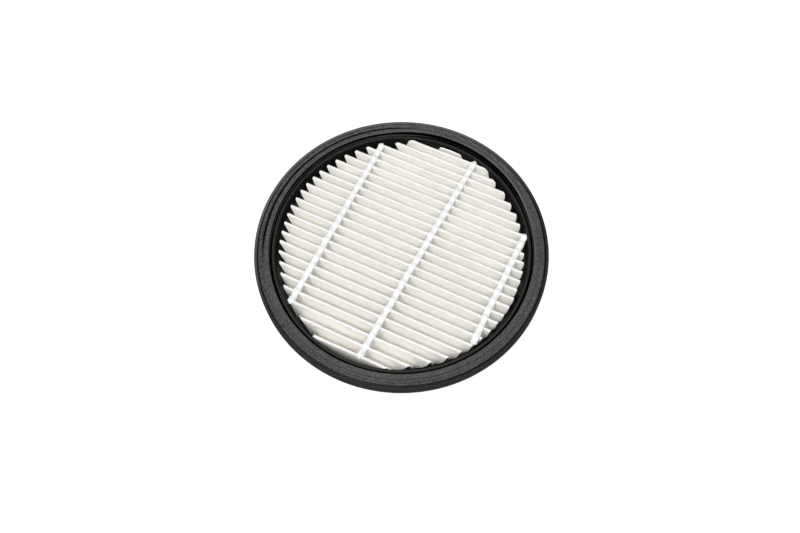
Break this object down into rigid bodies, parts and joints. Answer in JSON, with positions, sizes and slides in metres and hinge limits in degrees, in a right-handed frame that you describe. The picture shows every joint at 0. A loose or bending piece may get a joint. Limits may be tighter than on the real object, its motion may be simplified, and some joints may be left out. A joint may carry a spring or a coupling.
{
  "type": "vacuum filter",
  "caption": "Flat round pleated filter cartridge: a black moulded ring with a collar and a soft gasket, holding a white folded paper sheet with glue strings across its pleats.",
  "frame": {"origin": "centre of the ring, on the plane of the collar's lower edge", "axes": "+Z along the ring's axis, from the collar towards the gasket; +X along the pleats; -Y towards the front of the picture"},
  "size_m": [0.107, 0.107, 0.0132],
  "materials": {
    "frame": "matte black moulding",
    "gasket": "fine matte",
    "paper": "matte nonwoven",
    "glue": "satin hot-melt",
    "adhesive": "satin cast adhesive"
  },
  "bodies": {
    "root": {"frame": "frame", "gasket": "gasket", "pleated_sheet": "paper", "edge_adhesive": "adhesive", "top_string_left": "glue", "top_string_middle": "glue", "top_string_right": "glue", "under_string_left": "glue", "under_string_middle": "glue", "under_string_right": "glue"}
  },
  "joints": []
}
